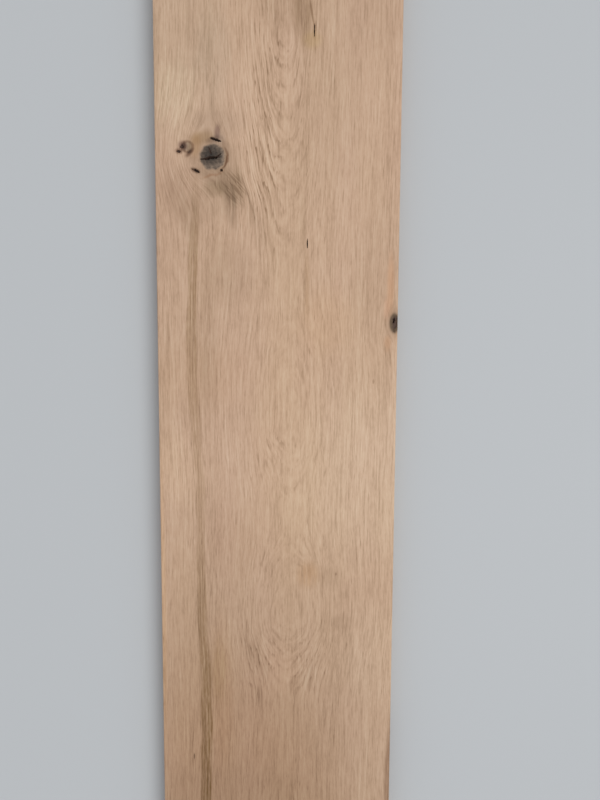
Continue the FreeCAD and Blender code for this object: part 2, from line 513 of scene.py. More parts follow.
def linear(colour):
    """An sRGB hex colour as linear red, green, blue and alpha."""
    channels = [int(colour[place : place + 2], 16) / 255 for place in (1, 3, 5)]
    return [c / 12.92 if c <= 0.04045 else ((c + 0.055) / 1.055) ** 2.4 for c in channels] + [1.0]


def stain(colour):
    """What a stain multiplies clean oak by to give this colour."""
    return [there / clean for there, clean in zip(linear(colour), linear(OAK))]


# Two sets of settings that many nodes share: a range that eases in and out, and a mix of
# colours, whose result is the node's third output.
SMOOTH = {"interpolation_type": "SMOOTHSTEP"}
COLOURS = {"out": 2, "data_type": "RGBA"}


# In a list of inputs, a MapRange has a value, the range it comes in and the range it leaves
# in. A MULTIPLY_ADD has a value, what multiplies it and what is added.
def add(tree, kind, values=(), out=0, **settings):
    """Add a node with its settings, set or link its inputs, and return one of its outputs."""
    node = tree.nodes.new(f"ShaderNode{kind}")
    for name, setting in settings.items():
        setattr(node, name, setting)
    sockets = values.items() if isinstance(values, dict) else enumerate(values)
    for socket, value in sockets:
        if isinstance(value, bpy.types.NodeSocket):
            tree.links.new(value, node.inputs[socket])
        else:
            node.inputs[socket].default_value = value
    return node.outputs[out] if node.outputs else node


red, green, blue, _ = linear(OAK)
print(f"{OAK} is {red:.3f}, {green:.3f}, {blue:.3f} in linear light")

# %% [markdown]
# Some stains are soft clouds: the shade round a knot, the tan wood beside it. Other clouds are
# painted shade and painted light: the warmer, darker fall of light towards the near end and the
# left side, and a pool of light at the right edge. Nodes could draw them, but a material with too
# many nodes renders black. They have no fine detail, so the skin's points carry them as one
# colour that multiplies the wood's.

# %% Soft stains, painted shade and painted light that the skin carries
# Each line: across, along, half width, half length, lean in degrees, amount and colour.
STAINS_AND_PAINTED_LIGHT = {
    # Painted shade: the fall of light towards the near end, warmer and darker, carried on to the end
    # of the board.
    "warmer_shade_painted_at_near_end": (-35, -430, 145, 260, 0, 1.0, "#ba9678"),
    "warmer_shade_painted_further_on": (-10, -768, 150, 260, 0, 0.8, "#ba9777"),
    "warmer_shade_painted_at_the_very_end": (0, -1106, 150, 260, 0, 0.6, "#ba9777"),
    "painted_shade_at_near_end": (-60, -440, 260, 400, 0, 1.0, "#b3957b"),
    "painted_shade_further_on": (-40, -960, 260, 400, 0, 0.8, "#b3957b"),
    # Painted light: a pool of light at the middle of the right edge.
    "painted_light_at_right_edge": (95, -70, 120, 120, 0, 1.0, "#cbad92"),
    "golden_wood_in_the_middle": (12, -40, 48, 220, 0, 0.8, "#c4a487"),
    "golden_wood_beside_streak": (-53, -285, 15, 115, 0, 1.0, "#c2a083"),
    "pale_wood_above_knot": (-35, 262, 75, 55, 0, 0.9, "#c8a88d"),
    "pale_wood_in_low_arches": (2, -262, 28, 34, 0, 1.0, "#c9a88d"),
    "shade_beside_streak": (-42, -140, 34, 70, 0, 1.0, "#bf9e83"),
    "greyer_wood_at_upper_left": (-85, 310, 55, 120, 0, 0.8, "#c3a68a"),
    "ochre_wood_below_check": (30, 319, 12, 11, 0, 0.6, "#bd9d74"),
    "shade_below_smudge": (-44, 116, 30, 44, 0, 0.6, "#b5967b"),
    "shade_at_right_edge": (92, 118, 36, 80, 0, 0.35, "#b6977c"),
    "shade_at_upper_right": (92, 345, 40, 60, 0, 0.35, "#b6977c"),
    "pale_wood_at_low_right": (95, -245, 44, 70, 0, 0.4, "#cdb095"),
    # Painted shade: the light falls off towards the near left.
    "painted_shade_at_near_left": (-40, -410, 120, 80, 0, 0.5, "#b3957b"),
    "pale_wood_at_upper_left": (-92, 262, 30, 50, 0, 0.5, "#cdae92"),
    "ochre_wood_round_streak": (-66, 22, 66, 46, 0, 1.0, "#c1a084"),
    # Painted shade: the light falls off along the left side.
    "shade_along_left_side": (-110, 60, 110, 520, 0, 1.0, "#c1a187"),
    "shade_right_of_arches": (44, 285, 44, 135, 0, 0.45, "#bc9d82"),
    "brown_wood_at_far_end": (4, 356, 38, 40, 0, 0.75, "#b7987c"),
    "pale_wood_at_left_edge": (-92, -66, 32, 48, 0, 0.55, "#cfaf92"),
    "yellow_wood_at_near_left": (-92, -245, 40, 170, 0, 0.45, "#c6a585"),
    "yellow_wood_right_of_check": (44, 72, 34, 44, 0, 0.6, "#c4a283"),
    "shade_round_knot": (-58, 216, 30, 30, 0, 0.8, "#ab8e74"),
    "shade_below_knot": (-52, 184, 30, 28, 0, 0.45, "#b3967b"),
    "shade_above_knot": (-55, 248, 30, 20, 0, 0.42, "#a88c74"),
    "brown_wood_below_knot": (-59, 205, 20, 10, 0, 0.25, "#a08469"),
    "tan_rim_left_of_knot": (-73.5, 228, 7, 15, -8, 0.8, "#b5906d"),
    "tan_rim_above_knot": (-68, 235, 16, 8, 10, 0.7, "#a88764"),
    "small_knot": (-80.4, 227.3, 7.2, 7.2, 0, 0.9, "#a0876f"),
    "stain_round_pit": (-84.8, 228.0, 6.2, 5.6, -50, 0.85, "#6d4a3c"),
    "stain_round_small_pit": (-88.4, 223.3, 5.0, 3.6, -8, 0.75, "#74503a"),
    "stain_round_slit_beside": (-79.0, 222.0, 3.2, 6.8, -42, 0.85, "#76553d"),
    "stain_round_slit_below": (-73.9, 206.6, 6.5, 3.0, -24, 0.85, "#6f5039"),
    "stain_round_slit_above": (-56.7, 233.8, 10, 4.4, 17, 0.6, "#7d604e"),
    "grey_wood_above_knot": (-54, 231, 12, 7, 60, 0.4, "#b09a86"),
    "wisp_above_knot": (-54.0, 240, 3.8, 9.5, -4, 0.8, "#8f6f5f"),
    "brown_wood_right_of_slit": (-47.5, 229, 5.0, 9, 20, 0.5, "#9c7d65"),
    "orange_line_below_knot": (-62.5, 201.5, 1.6, 7, -69, 0.5, "#b0835f"),
    "rust_at_edge": (103, 106, 4.8, 38, 0, 0.45, "#cb9870"),
    "rust_left_of_edge_knot": (99.3, 84, 3.6, 14, 0, 0.35, "#d2a080"),
    "rust_under_edge_knot": (101, 53, 4.4, 10, 0, 0.4, "#b9875f"),
    "edge_knot_shade": (106.5, 71, 10, 19, 0, 0.6, "#9c7c62"),
    "edge_knot_bark": (107.0, 71.2, 5.6, 11.0, 0, 0.9, "#64543f"),
    "warm_left_edge": (-109, -200, 5.0, 190, 0, 0.4, "#cfa67c"),
}
# The knot at the edge was cut at a slant, so its stain ends within the board's thickness.
EDGE_KNOT_DEPTH = 17.0
# A stain fades out over this share of its radius, and one of them has a crisper rim.
SOFTNESS = 0.7
CRISP = {"edge_knot_bark": 0.35}
stains_and_painted_light = np.ones((len(points), 4))
for name, (across, length_place, half_wide, half_long, lean, amount, cloud_colour) in STAINS_AND_PAINTED_LIGHT.items():
    turn = math.radians(lean)
    off_x, off_y = x - across, y - length_place
    share_wide = (off_x * math.cos(turn) + off_y * math.sin(turn)) / half_wide
    share_long = (off_y * math.cos(turn) - off_x * math.sin(turn)) / half_long
    share_deep = (thickness - z) / EDGE_KNOT_DEPTH if name.startswith("edge_knot") else 0 * z
    away = np.sqrt(share_wide**2 + share_long**2 + share_deep**2)
    inward = np.clip((1 - away) / CRISP.get(name, SOFTNESS), 0, 1)
    cover = amount * inward**2 * (3 - 2 * inward)
    stains_and_painted_light *= 1 + cover[:, None] * (np.array(stain(cloud_colour)) - 1)
carried = skin.attributes.new("stains_and_painted_light", "FLOAT_COLOR", "POINT")
carried.data.foreach_set("color", stains_and_painted_light.astype(np.float32).ravel())
print(f"{len(STAINS_AND_PAINTED_LIGHT)} soft stains, multiplying by {stains_and_painted_light.min():.2f} to {stains_and_painted_light.max():.2f}")

# %% [markdown]
# Oak is ring porous. In spring it grows a row of wide vessels, and in summer dense wood with
# few. Planed along the grain, the vessels are cut open as dark dashes, less than half a
# millimetre wide and up to a centimetre long, so a ring starts with a dotted dark line and
# ends in plain wood. Between them all runs the streakiness of the fibres, on every scale.
# The finish is matt: raw oak, brushed, with no varnish, so its roughness is high.

# %% Where a point is in the wood
oak = bpy.data.materials.new("planed_raw_oak")
oak.use_nodes = True
oak.node_tree.nodes.clear()
wood = partial(add, oak.node_tree)
place = wood("VectorMath", [wood("TexCoord", out="Object"), (1 / MM,) * 3], operation="MULTIPLY")
along = wood("SeparateXYZ", [place], out="Y")
up = along.node.outputs["Z"]
fibre = wood("Attribute", out="Fac", attribute_name="fibre_mm")
ring = wood("Attribute", out="Fac", attribute_name="ring_mm")
in_stem = wood("CombineXYZ", [fibre, along, up])


def streaks(across, length, detail=1.0, start=in_stem):
    """Noise drawn out along the fibres, its streaks this wide and long in mm."""
    stretched = wood(
        "VectorMath", [start, (1 / across, 1 / length, 1 / across)], operation="MULTIPLY"
    )
    return wood("TexNoise", {"Vector": stretched, "Scale": 1.0, "Detail": detail}, out="Fac")


def report(part):
    """Print how many nodes the wood has so far, as too many would render black."""
    print(f"{len(oak.node_tree.nodes)} nodes with {part}")


report("the places")

# %% [markdown]
# Fibres lie in bundles within bundles, from broad bands of colour down to single hairs. One
# noise with many octaves would make spots of all sizes, so each size is a noise of its own,
# drawn out along the grain as far as the real streaks are long. Their sum is the tone.
# Noise is 0.5 on average and seldom leaves 0.3 to 0.7, so ranges within those cut lines of it.

# %% Fibres: one sum of streaks, from broad bands down to single fibres
# Each line: width and length of the streaks in mm, and how much they change the tone. The
# brush that roughens oak runs straight down the board, also where the fibres swerve, and the
# pores are drawn a millimetre wide, about four times too coarse, so that they show.
FIBRE_STREAKS = {
    "broad_bands": (17, 300, 0.22),
    "bands": (5.5, 120, 0.20),
    "fine_streaks": (2.3, 60, 0.24),
    "single_fibres": (1.15, 20, 0.40),
    "brush_lines": (1.05, 16, 0.35),
    "pores": (1.2, 4.5, 0.26),
}
tone = 0.5 - sum(gain for _, _, gain in FIBRE_STREAKS.values()) / 2
for name, (width, length, gain) in FIBRE_STREAKS.items():
    start = place if name in ("brush_lines", "pores") else in_stem
    drawn = streaks(width, length, start=start)
    tone = wood("Math", [drawn, gain, tone], operation="MULTIPLY_ADD")
report("the fibres")

# %% [markdown]
# A ring is one year's growth. The distance from the pith, counted in ring widths, gives each
# point its year, and what is left over gives its season. Noise bends the count, as no two
# years are alike. Spring wood is dark, and a finer noise breaks it up into open vessels.

# %% Growth rings and their vessels
# The vessels are drawn 0.8 mm wide, twice their real width, so that they show at all.
RING_WIDTH = 3.0
UNEVEN_YEARS, RAGGED_YEARS = 1.8, 0.8
VESSEL_WIDTH = 0.8
VESSEL_LENGTH = 10.0
# Shares of a year: spring wood has risen by the first, and it fades between the other two.
SPRING_RISES = 0.07
SPRING_FADES = (0.42, 0.06)
SPRING_TONE = -0.42
VESSEL_TONE = -0.10
clearness = wood("Attribute", out="Fac", attribute_name="ring_clearness")
bent = wood("Math", [streaks(11, 60), UNEVEN_YEARS], operation="MULTIPLY")
bent = wood("Math", [streaks(1.6, 20), RAGGED_YEARS, bent], operation="MULTIPLY_ADD")
years = wood("Math", [ring, 1 / RING_WIDTH, bent], operation="MULTIPLY_ADD")
season = wood("Math", [years], operation="FRACT")
spring_ends = wood("MapRange", [season, *SPRING_FADES, 0.0, 1.0], **SMOOTH)
spring_starts = wood("MapRange", [season, 0.0, SPRING_RISES, 0.0, 1.0], **SMOOTH)
spring = wood("Math", [spring_ends, spring_starts], operation="MULTIPLY")
across_ring = wood("CombineXYZ", [fibre, along, ring])
breaks = wood("MapRange", [streaks(2.4, 14, 0.0, across_ring), 0.38, 0.62, 0.1, 1.0])
spring_line = wood("Math", [spring, breaks], operation="MULTIPLY")
spring_line = wood("Math", [spring_line, clearness], operation="MULTIPLY")
vessel_noise = streaks(VESSEL_WIDTH, VESSEL_LENGTH, 0.0, across_ring)
vessels = wood("MapRange", [vessel_noise, 0.5, 0.68, 0.0, 1.0], **SMOOTH)
spring_share = wood("Math", [spring, 0.6, 0.4], operation="MULTIPLY_ADD")
vessels = wood("Math", [vessels, spring_share], operation="MULTIPLY")
tone = wood("Math", [spring_line, SPRING_TONE, tone], operation="MULTIPLY_ADD")
tone = wood("Math", [vessels, VESSEL_TONE, tone], operation="MULTIPLY_ADD")

# Within a year the growth also comes and goes, which draws fine lines beside each ring. Their
# size in mm is outward from the pith, along the board and across it.
GROWTH_LINE = (0.95, 60, 8)
TONE_LIFT = 0.01
growth_place = wood("CombineXYZ", [ring, along, fibre])
growth_scale = tuple(1 / size for size in GROWTH_LINE)
growth_place = wood("VectorMath", [growth_place, growth_scale], operation="MULTIPLY")
growth_lines = wood("TexNoise", {"Vector": growth_place, "Scale": 1.0, "Detail": 1.0}, out="Fac")
growth_gain = wood("Math", [clearness, 1.05, 0.13], operation="MULTIPLY_ADD")
growth_lines = wood("Math", [growth_lines, -0.5], operation="ADD")
tone = wood("Math", [growth_lines, growth_gain, tone], operation="MULTIPLY_ADD")
tone = wood("Math", [tone, TONE_LIFT], operation="ADD")
report("the growth rings")

# %% [markdown]
# One scale of tone then becomes colour. The darkest stop is the shade inside an open vessel,
# the middle one is the oak itself, and the lightest is the pale summer wood. The darker
# stops are also browner, as they are on the board.

# %% Tone becomes colour
OAK_TONES = [(0.0, "#94765b"), (0.5, OAK), (1.0, "#d9bfa4")]


def set_stops(ramp, tones):
    """Give a colour ramp its stops, each a place from 0 to 1 and a colour."""
    stops = ramp.node.color_ramp.elements
    for _ in tones[2:]:
        stops.new(0.5)
    for stop, (position, stop_colour) in zip(stops, tones):
        stop.position = position
        stop.color = linear(stop_colour)


colour = wood("ValToRGB", [tone])
set_stops(colour, OAK_TONES)

# Broad patches of the wood are a little pinker or yellower than the rest.
PINK_OAK, YELLOW_OAK = "#c5a489", "#c4a487"
hue = wood("MapRange", [streaks(40, 160), 0.3, 0.7, 0.0, 1.0])
patch = wood("Mix", {0: hue, 6: stain(PINK_OAK), 7: stain(YELLOW_OAK)}, **COLOURS)
carried_stain_and_light_colour = wood("Attribute", out="Color", attribute_name="stains_and_painted_light")
for layer in (patch, carried_stain_and_light_colour):
    layers = {0: 1.0, 6: colour, 7: layer}
    colour = wood("Mix", layers, **COLOURS, blend_type="MULTIPLY")
report("the broad colours")

# %% [markdown]
# Minerals from the soil leave brown streaks in oak. This board has one long streak down its
# left side, made of a few parallel lines that darken towards the near end.

# %% The mineral streak
# Its lines are a wave across it, about two to each half of it. A slow noise bends them, and
# two quick ones break them up.
LINES_IN_HALF = 2.1
MINERAL_BROWN = "#7c5a20"


def stain_where(cover, mark_colour, clean):
    """The wood's colour with a stain laid over it as far as it covers."""
    mixed = {0: cover, 6: clean, 7: stain(mark_colour)}
    return wood("Mix", mixed, **COLOURS, blend_type="MULTIPLY")


streak = wood("Attribute", out="Fac", attribute_name="streak_share")
darkness = wood("Attribute", out="Fac", attribute_name="streak_darkness")
wander = wood("Math", [streaks(9, 40), 1.0, -0.5], operation="MULTIPLY_ADD")
off_middle = wood("Math", [wood("Math", [streak, wander], operation="ADD")], operation="ABSOLUTE")
band = wood("MapRange", [off_middle, 1.05, 0.55, 0.0, 1.0], **SMOOTH)
phase = wood("Math", [streaks(9, 90), 9.0], operation="MULTIPLY")
phase = wood("Math", [streak, 2 * math.pi * LINES_IN_HALF, phase], operation="MULTIPLY_ADD")
lines = wood("Math", [phase], operation="SINE")
lines = wood("Math", [lines, 0.22, 0.30], operation="MULTIPLY_ADD")
lines = wood("Math", [streaks(1.4, 70), 1.0, lines], operation="MULTIPLY_ADD")
lines = wood("Math", [streaks(1.3, 7), 0.9, lines], operation="MULTIPLY_ADD")
lines = wood("Math", [lines, -0.45], operation="ADD")
streak_amount = wood("Math", [band, darkness], operation="MULTIPLY")
streak_amount = wood("Math", [streak_amount, lines], operation="MULTIPLY")
colour = stain_where(streak_amount, MINERAL_BROWN, colour)
report("the mineral streak")

# %% [markdown]
# Smudges, wisps and specks are single marks, each in its own place. A loop lays them all over
# the wood in the same way: a soft-edged oval, turned to lie along the grain, that the fibres
# break up into stripes. A painted mask could do this, but it would fix the sharpness.

# %% Single marks
# Each line: across, along, half width, half length, lean in degrees, stripes, amount, colour.
MARKS = {
    "smudge_below_knot": (-41.5, 192, 14.5, 22, 18, 0.4, 0.7, "#967b5f"),
    "smudge_core": (-41, 190, 9.5, 16, 20, 0.8, 0.3, "#a08368"),
    "fine_line_right_of_smudge": (-26.5, 184, 1.5, 30, 18, 0.1, 0.5, "#92745a"),
    "smudge_left_of_core": (-56.5, 191, 15, 10.5, 0, 0.3, 0.8, "#a28669"),
    "smudge_right_of_core": (-35.5, 205, 4.5, 12, 17, 0.5, 0.5, "#a28669"),
    "smudge_tail": (-41.5, 174, 8.5, 27, 6, 0.6, 0.8, "#a08268"),
    "dark_lines_beside_tail": (-20, 158, 9, 34, 12, 0.9, 0.35, "#a08266"),
    "brown_patch_left_of_knot": (-86, 181, 24, 42, 24, 0.6, 0.55, "#a08166"),
    "brown_patch_above_streak": (-77, 160, 12, 34, 8, 0.6, 0.35, "#a88a6c"),
    "pale_streaks_upper_left": (-90, 276, 24, 46, -22, 0.8, 0.35, "#d6bea1"),
    "grey_patch_upper_left": (-57, 306, 22, 60, 0, 0.5, 0.25, "#b39e87"),
    "brown_band_at_far_end": (21, 340, 13, 34, 3, 0.6, 0.75, "#a08164"),
    "brown_line_over_check": (29.5, 343, 1.4, 16, 9, 0.1, 0.75, "#8d6b4c"),
    "shade_round_check": (32, 327, 2.6, 12, 0, 0.1, 0.5, "#a07c5c"),
    "band_above_short_check": (23, 165, 3.4, 30, 0, 0.5, 0.4, "#a98b6e"),
    "band_below_short_check": (26.5, 105, 3.8, 44, 0, 0.4, 0.6, "#b08e6e"),
    "left_edge_band": (-107, 310, 3.5, 60, 0, 0.4, 0.3, "#ae9076"),
    "left_fine_band": (-79, 330, 3.6, 44, 0, 0.5, 0.4, "#ac8e72"),
    "fine_band_above_knot": (-60, 300, 4.0, 60, 0, 0.6, 0.35, "#ac8e72"),
    "brown_band_beside_streak": (-64, 50, 13, 95, 0, 0.5, 0.5, "#a8896c"),
    "olive_band_beside_streak": (-56, -262, 10, 46, 0, 0.5, 0.45, "#ab8a62"),
    "near_right_edge_streak": (109, -365, 5.5, 76, -1.5, 0.3, 0.75, "#8a674b"),
    "orange_patch_low": (29, -167, 15, 18, 0, 0.6, 0.5, "#b58b63"),
    "dark_patch_low_right": (61, -214, 17, 12, 0, 0.7, 0.35, "#9c7d62"),
    "dark_patch_right": (49, -169, 19, 14, 0, 0.8, 0.3, "#a08266"),
    "dark_dashes_left": (-17, -288, 4.4, 14, 0, 0.8, 0.5, "#96775c"),
    "dark_dashes_left_limb": (-19, -250, 12, 38, 22, 0.9, 0.3, "#9b7d61"),
    "dark_dashes_right_limb": (30, -259, 10, 26, -30, 0.9, 0.3, "#9b7d61"),
    "speck_right": (88.6, 17.6, 1.4, 3.2, 0, 0.0, 0.5, "#8f7054"),
    "speck_low": (55.8, -166, 1.5, 2.2, 0, 0.0, 0.55, "#8a6a50"),
    "speck_left": (-80.4, -350, 0.9, 4.5, 0, 0.0, 0.9, "#6b4f38"),
}
stripes = wood("MapRange", [streaks(1.9, 26), 0.36, 0.62, 0.0, 1.0])
# An oval reaches this many mm down, which is through the whole board.
OVAL_DEPTH = 999


def cover_oval(middle, half_wide, half_long, lean, amount):
    """How much a soft-edged oval, turned by its lean in degrees, covers each place."""
    centred = wood(
        "Mapping",
        [place, (*middle, 0), (0, 0, math.radians(lean)), (half_wide, half_long, OVAL_DEPTH)],
        vector_type="TEXTURE",
    )
    from_middle = wood("VectorMath", [centred], out="Value", operation="LENGTH")
    return wood("MapRange", [from_middle, 1.0, 0.3, 0.0, amount], **SMOOTH)


for *oval, striped, amount, mark_colour in MARKS.values():
    across, length_place, half_wide, half_long, lean = oval
    cover = cover_oval((across, length_place), half_wide, half_long, lean, amount)
    broken = wood("Math", [stripes, striped, 1 - striped], operation="MULTIPLY_ADD")
    cover = wood("Math", [cover, broken], operation="MULTIPLY")
    colour = stain_where(cover, mark_colour, colour)
report(f"{len(MARKS)} marks")

# Beside the knot the fibres dive under the face, so short dark strokes cross the smudge.
STROKE_LEAN = math.radians(42)
STROKE_OVAL = ((-39, 191), 15, 22, 20, 0.65)
STROKE_BROWN = "#947559"
turned = wood("VectorRotate", {"Vector": place, "Angle": -STROKE_LEAN}, rotation_type="Z_AXIS")
strokes = streaks(1.5, 15, 0.0, turned)
strokes = wood("MapRange", [strokes, 0.46, 0.62, 0.0, 1.0], **SMOOTH)
cover = wood("Math", [cover_oval(*STROKE_OVAL), strokes], operation="MULTIPLY")
colour = stain_where(cover, STROKE_BROWN, colour)
report("the short strokes")

# %% [markdown]
# The main knot is a dead branch: a plug of grey end grain with its own fine rings, darkest
# round its heart, and a dark bark line round part of it where it never joined the stem.

# %% How uneven the knots' outlines are
# The noise has waves of 5 mm. It moves the bark and the branch by a share of these, in mm.
KNOT_WAVE = 5.0
BARK_WOBBLE = (2.4, 2.4, 0.0)
BRANCH_WOBBLE = (3.0, 3.0, 0.0)
knot_noise = wood("TexNoise", {"Vector": place, "Scale": 1 / KNOT_WAVE, "Detail": 1.5}, out="Color")
wobble = wood("VectorMath", [knot_noise, (0.5, 0.5, 0.5)], operation="SUBTRACT")
report("the knots' unevenness")

# %% Bark round the knots
# Each line: middle, radius and half breadth in mm, the side it lies on in degrees, the cosine
# at which it ends there, or -3 to go all round, amount and colour.
BARK = {
    "pale_bark_beside_knot": (MAIN_KNOT, 12.8, 3.4, -8, 0.5, 0.5, "#b09478"),
    "brown_bark_line": (MAIN_KNOT, 13.5, 1.5, -12, 0.6, 0.95, "#8a6347"),
    "orange_arc_below_knot": (MAIN_KNOT, 15.8, 1.7, -78, 0.8, 0.7, "#b0805c"),
    "small_knot_bark": (SMALL_KNOT, 4.7, 1.9, 0, -3.0, 0.6, "#88644a"),
}
for middle, bark_radius, half_breadth, side, least, amount, bark_colour in BARK.values():
    from_middle = wood("VectorMath", [place, (*middle, thickness)], operation="SUBTRACT")
    from_middle = wood("VectorMath", [wobble, BARK_WOBBLE, from_middle], operation="MULTIPLY_ADD")
    away = wood("VectorMath", [from_middle], out="Value", operation="LENGTH")
    side_of_knot = (math.cos(math.radians(side)), math.sin(math.radians(side)), 0.0)
    toward = wood("VectorMath", [from_middle, side_of_knot], out="Value", operation="DOT_PRODUCT")
    toward = wood("Math", [toward, away], operation="DIVIDE")
    shown = wood("MapRange", [toward, least, least + 0.35, 0.0, amount])
    off_line = wood("Math", [away, -bark_radius], operation="ADD")
    off_line = wood("Math", [off_line], operation="ABSOLUTE")
    cover = wood("MapRange", [off_line, half_breadth, 0.2 * half_breadth, 0.0, 1.0], **SMOOTH)
    cover = wood("Math", [cover, shown], operation="MULTIPLY")
    colour = stain_where(cover, bark_colour, colour)
report("the bark")

# %% The dead branch
# Its tones run from the heart, which lies off the middle, to a little past the rim, and its
# rim fades over a few mm.
KNOT_TONES = [
    (0.0, "#2c2520"), (0.3, "#3e342b"), (0.6, "#574a3e"), (0.85, "#746455"), (1.0, "#8d7763"),
]
HEART = (-1.6, 1.2, 0.0)
TONES_END = MAIN_KNOT_RADIUS + 2.2
RIM_INSIDE, RIM_OUTSIDE = MAIN_KNOT_RADIUS - 1.5, MAIN_KNOT_RADIUS + 1.1
KNOT_RING = 1.3
from_knot = wood("VectorMath", [place, (*MAIN_KNOT, thickness)], operation="SUBTRACT")
knot_place = wood("VectorMath", [wobble, BRANCH_WOBBLE, from_knot], operation="MULTIPLY_ADD")
knot_place = wood("VectorMath", [knot_place, (1.0, 1.0, 0.0)], operation="MULTIPLY")
radius = wood("VectorMath", [knot_place], out="Value", operation="LENGTH")
from_heart = wood("VectorMath", [knot_place, HEART], operation="SUBTRACT")
knot_share = wood("VectorMath", [from_heart], out="Value", operation="LENGTH")
knot_share = wood("Math", [knot_share, TONES_END], operation="DIVIDE")
knot_ramp = wood("ValToRGB", [knot_share])
set_stops(knot_ramp, KNOT_TONES)
knot_rings = wood("Math", [radius, 2 * math.pi / KNOT_RING], operation="MULTIPLY")
knot_rings = wood("Math", [knot_rings], operation="SINE")
mottle = wood("TexNoise", {"Vector": place, "Scale": 0.42, "Detail": 2.0}, out="Fac")
knot_grain = wood("Math", [mottle, 2.2, -0.1], operation="MULTIPLY_ADD")
knot_grain = wood("Math", [knot_rings, 0.07, knot_grain], operation="MULTIPLY_ADD")
knot_colour = wood("VectorMath", {0: knot_ramp, 3: knot_grain}, operation="SCALE")
inside_knot = wood("MapRange", [radius, RIM_OUTSIDE, RIM_INSIDE, 0.0, 1.0], **SMOOTH)
colour = wood("Mix", {0: inside_knot, 6: colour, 7: knot_colour}, **COLOURS)
report("the dead branch")

# %% [markdown]
# The walls of an opening darken within its first millimetre and a half, and its floor is nearly
# black: painted shade in the depth, over the rot's own colour in the knots. The rotten knot at the
# edge is shallow and brown-grey.

# %% Inside the openings
ROT_AND_SHADE_DARK, ROT_AND_SHADE_PALE = "#2b1f1a", "#5e4437"
sunk_into = wood("Attribute", out="Fac", attribute_name="sunk_mm")
# Painted shade: the deeper into an opening, the darker, down to a nearly black floor.
wall = wood("MapRange", [sunk_into, 0.05, 1.4, 0.0, 1.0], **SMOOTH)
crumbs = wood("TexNoise", {"Vector": place, "Scale": 0.8, "Detail": 3.0}, out="Fac")
rot_and_painted_shade = wood("Mix", {0: crumbs, 6: linear(ROT_AND_SHADE_DARK), 7: linear(ROT_AND_SHADE_PALE)}, **COLOURS)
colour = wood("Mix", {0: wall, 6: colour, 7: rot_and_painted_shade}, **COLOURS)
report("the openings")

# %% [markdown]
# End grain shows the rings as arcs, with pale rays crossing them outward from the pith. A saw
# leaves it rougher and darker than the face, because its open vessels swallow the light.

# %% End grain
END_WOOD, RAY_WOOD = "#a88a6c", "#cdb294"
# Rays are about a degree apart and run a long way outward.
RAY_SCALE = (1.1, 0.06, 1.0)
facing = wood("SeparateXYZ", [wood("NewGeometry", out="Normal")], out="Y")
facing = wood("Math", [facing], operation="ABSOLUTE")
on_end_grain = wood("MapRange", [facing, 0.75, 0.9, 0.0, 1.0])
ray = wood("Attribute", out="Fac", attribute_name="ray_degrees")
ray_place = wood("CombineXYZ", [ray, ring, 0.0])
ray_place = wood("VectorMath", [ray_place, RAY_SCALE], operation="MULTIPLY")
rays = wood("TexNoise", {"Vector": ray_place, "Scale": 1.0, "Detail": 1.0}, out="Fac")
rays = wood("MapRange", [rays, 0.55, 0.7, 0.0, 0.35])
end_tone = wood("Mix", {0: rays, 6: stain(END_WOOD), 7: stain(RAY_WOOD)}, **COLOURS)
end_rings = wood("MapRange", [season, 0.45, 0.0, 1.0, 0.78], **SMOOTH)
end_tone = wood("VectorMath", {0: end_tone, 3: end_rings}, operation="SCALE")
layers = {0: on_end_grain, 6: colour, 7: end_tone}
colour = wood("Mix", layers, **COLOURS, blend_type="MULTIPLY")
report("the end grain")

# %% [markdown]
# The brush leaves the vessels about a tenth of a millimetre deep. The grid is too coarse for
# that, so the material bends the light instead. Raw wood scatters light widely.

# %% Surface: matt planed wood with brushed-out vessels
BUMP_DEPTH = 0.12 * MM
height = wood("Math", [vessels, -0.8, tone], operation="MULTIPLY_ADD")
normal = wood("Bump", {"Strength": 0.6, "Distance": BUMP_DEPTH, "Height": height})
roughness = wood("MapRange", [tone, 0.0, 1.0, 0.86, 0.72])
surface = wood(
    "BsdfPrincipled",
    {"Base Color": colour, "Roughness": roughness, "IOR": 1.5, "Normal": normal},
)
wood("OutputMaterial", [surface])
report("the surface")
skin.materials.append(oak)
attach(board, "root")
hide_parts("floorboard")

# %% [markdown]
# The board lies on a plain pale floor. Seen from low down, the floor would end in a hard
# horizon, so within a few metres it fades to the very colour of the background behind it.

# %% Floor and background
BACKGROUND = "#bcc0c2"
FLOOR_HALF = 60.0
# The floor fades to the background between these distances from its middle, in metres.
FADE_NEAR, FADE_FAR = 1.4, 4.0
floor_mesh = bpy.data.meshes.new("floor")
floor_corners = [(-1, -1), (1, -1), (1, 1), (-1, 1)]
floor_points = [(FLOOR_HALF * x, FLOOR_HALF * y, 0) for x, y in floor_corners]
floor_mesh.from_pydata(floor_points, [], [range(4)])
floor = bpy.data.objects.new("floor", floor_mesh)
bpy.context.scene.collection.objects.link(floor)
floor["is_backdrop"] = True
paint = bpy.data.materials.new("matt_floor_paint")
paint.use_nodes = True
paint.node_tree.nodes.clear()
coat = partial(add, paint.node_tree)
from_board = coat("VectorMath", [coat("TexCoord", out="Object")], out="Value", operation="LENGTH")
far_off = coat("MapRange", [from_board, FADE_NEAR, FADE_FAR, 0.0, 1.0], **SMOOTH)
painted = coat("BsdfPrincipled", {"Base Color": linear(BACKGROUND), "Roughness": 0.9})
haze = coat("Emission", [linear(BACKGROUND), 1.0])
coat("OutputMaterial", [coat("MixShader", [far_off, painted, haze])])
floor_mesh.materials.append(paint)
print(f"the floor is background from {FADE_FAR:.0f} m on")

# %% [markdown]
# The light is soft and plain. The world fills in from all round and a wide, weak sun gives every
# edge a lit side and a shaded one, evenly over the whole length. A weak soft lamp above the
# right of the board adds a trace of the photograph's fall of light. Together they come to about 1,
# so a colour renders as it is written. The rest of that fall of light is painted into the wood's
# colour, as painted shade towards the near end and the left side and painted light at the right edge.

